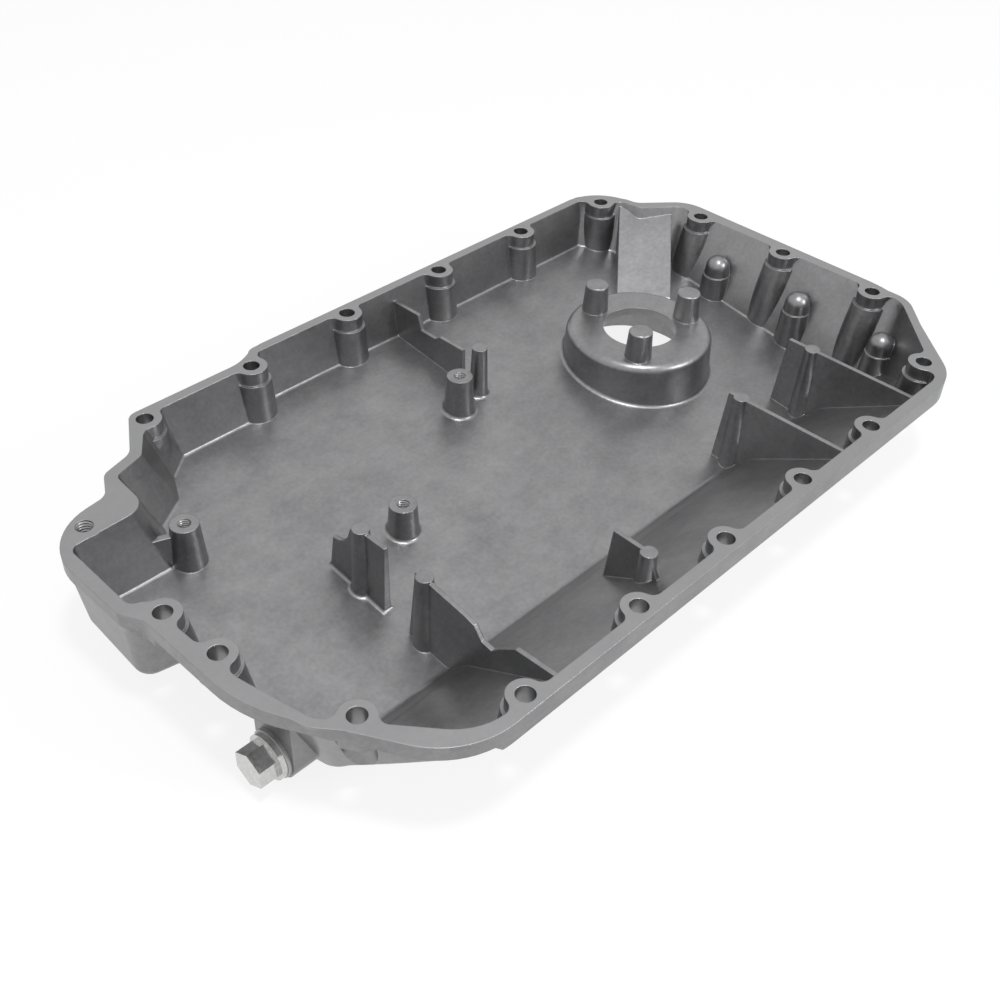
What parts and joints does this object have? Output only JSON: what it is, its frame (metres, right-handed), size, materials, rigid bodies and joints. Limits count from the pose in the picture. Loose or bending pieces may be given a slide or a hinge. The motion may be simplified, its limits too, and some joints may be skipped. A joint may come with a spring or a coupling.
{
  "type": "engine oil pan",
  "caption": "Cast aluminium oil pan with a machined bolt flange, baffle ribs, a round seat for a level sensor and a drain plug with a sealing washer.",
  "frame": {"origin": "middle of the flange face, halfway between the two opposite flange holes of the mount bolts_across", "axes": "+Z out of the flange face, away from the tub; +X along the length, from the drain plug to the level sensor seat; +Y across, toward the long side with the straight row of six bolts"},
  "size_m": [0.3892, 0.2268, 0.0469],
  "materials": {
    "casting": "as-cast aluminium with a fine milled flange face",
    "washer": "flat stamped ring",
    "plug": "zinc plated steel"
  },
  "bodies": {
    "pan": {"pan_casting": "casting"},
    "washer": {"sealing_washer": "washer"},
    "plug": {"drain_plug": "plug"}
  },
  "joints": [
    {"name": "plug_travel", "type": "slide", "parent": "pan", "child": "washer", "axis": [-1, 0, 0], "range_m": [0, 0.0135]},
    {"name": "plug_turn", "type": "hinge", "parent": "washer", "child": "plug", "pos_m": [-0.167, -0.046, -0.0345], "axis": [-1, 0, 0], "range_deg": [0, 3240]}
  ],
  "couplings": [
    {"joint": "plug_turn", "follows": "plug_travel", "rad_per_m": 4188.8}
  ]
}
